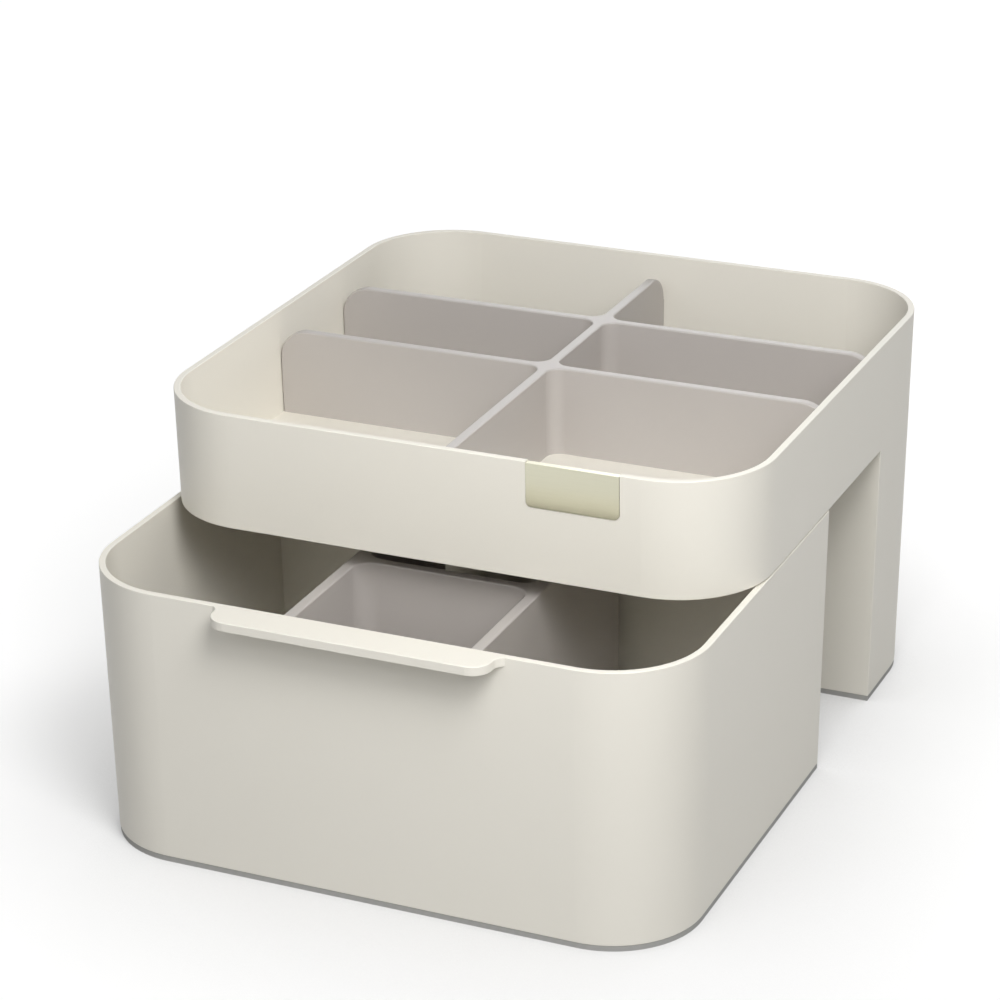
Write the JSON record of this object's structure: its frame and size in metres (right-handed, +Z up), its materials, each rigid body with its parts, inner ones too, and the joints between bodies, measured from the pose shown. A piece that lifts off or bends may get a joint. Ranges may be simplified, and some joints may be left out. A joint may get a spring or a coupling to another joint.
{
  "type": "makeup organizer with drawer",
  "caption": "Desktop makeup organizer: open divided tray cantilevered from a deep rear box over a sliding drawer with a pull lip, loose tray and drawer dividers and grip mats.",
  "frame": {"origin": "on the table, under the middle of the whole outline with the drawer drawn out as pictured", "axes": "+Z up, +Y from the drawer's front to the rear box, +X to the right as seen from the front"},
  "size_m": [0.2208, 0.2854, 0.1442],
  "materials": {
    "shell": "fine satin moulded plastic, warm cream",
    "divider": "fine satin moulded plastic, taupe grey",
    "plate": "polished champagne anodised sheet, bare",
    "adhesive": "thin double-sided film",
    "grip": "matt grey soft grip sheet"
  },
  "bodies": {
    "housing_body": {"housing": "shell", "name_plate": "plate", "plate_adhesive": "adhesive", "housing_base_mat": "grip"},
    "tray_insert": {"tray_divider": "divider"},
    "drawer_body": {"drawer": "shell", "drawer_base_mat": "grip"},
    "drawer_insert": {"drawer_divider": "divider"}
  },
  "joints": [
    {"name": "drawer_slide", "type": "slide", "parent": "housing_body", "child": "drawer_body", "axis": [0, -1, 0], "range_m": [-0.0582, 0.096]},
    {"name": "tray_divider_lift", "type": "slide", "parent": "housing_body", "child": "tray_insert", "axis": [0, 0, 1], "range_m": [0, 0.14]},
    {"name": "drawer_divider_lift", "type": "slide", "parent": "drawer_body", "child": "drawer_insert", "axis": [0, 0, 1], "range_m": [0, 0.008]}
  ]
}
